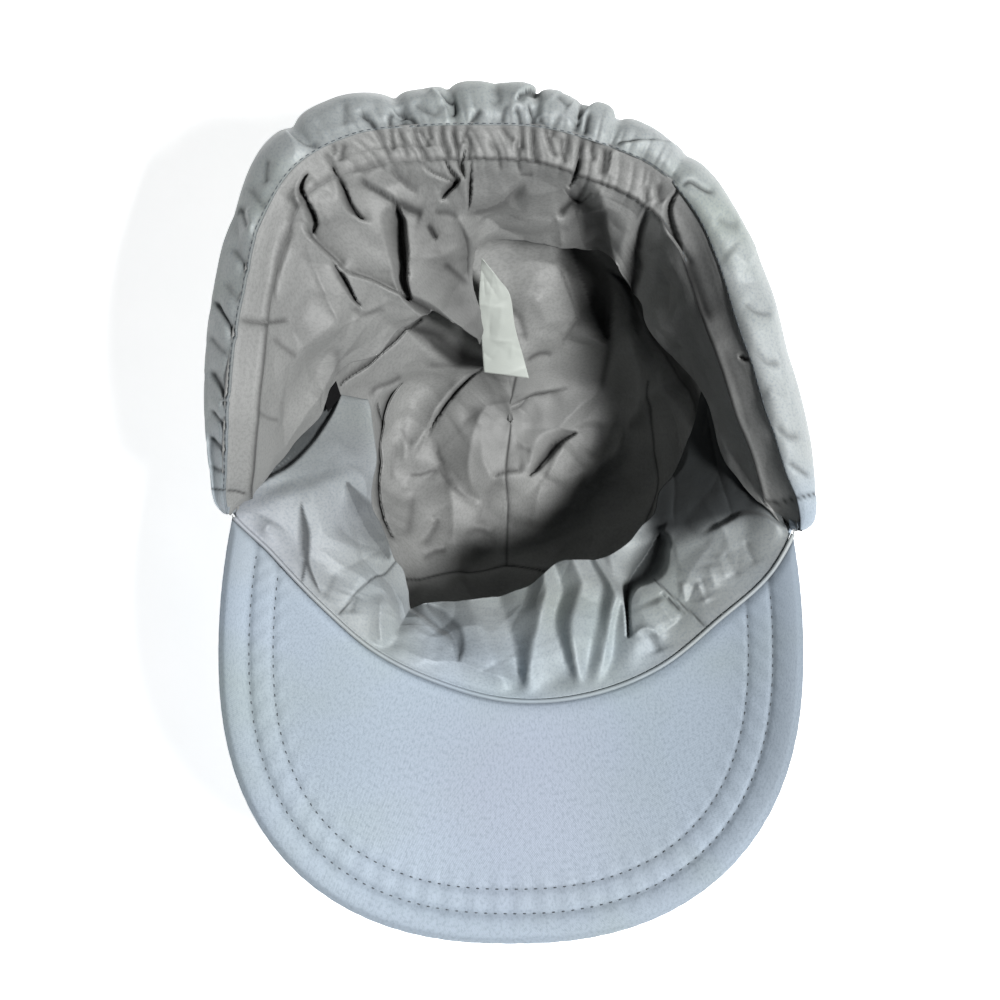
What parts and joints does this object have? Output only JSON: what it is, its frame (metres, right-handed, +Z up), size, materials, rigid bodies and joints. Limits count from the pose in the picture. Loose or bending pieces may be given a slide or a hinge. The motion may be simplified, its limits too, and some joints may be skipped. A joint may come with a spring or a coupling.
{
  "type": "peaked ski cap with ear and neck flap",
  "caption": "Peaked woven ski cap lying upside down: padded ear and neck flap, gathered elastic casing, slack lining and facing, stitched stiff peak.",
  "frame": {"origin": "middle of the flattened crown top that the upturned cap rests on, at floor height", "axes": "+Z up out of the head opening, -Y towards the tip of the peak, +Y towards the back of the flap"},
  "size_m": [0.1921, 0.2724, 0.118],
  "materials": {
    "outer_cloth": "pale silver-blue woven nylon with a soft satin shine and faint lilac and green tints",
    "lining_cloth": "neutral grey thin woven nylon, slightly shiny, crumpled",
    "ribbon": "off-white satin ribbon, bare",
    "dark_tape": "black narrow woven tape"
  },
  "bodies": {
    "root": {"crown_shell": "outer_cloth", "crown_lining": "lining_cloth", "flap_shell": "outer_cloth", "flap_lining": "lining_cloth", "front_facing": "outer_cloth", "peak": "outer_cloth", "peak_welt": "outer_cloth", "care_label": "ribbon", "seam_tab": "dark_tape"}
  },
  "joints": []
}
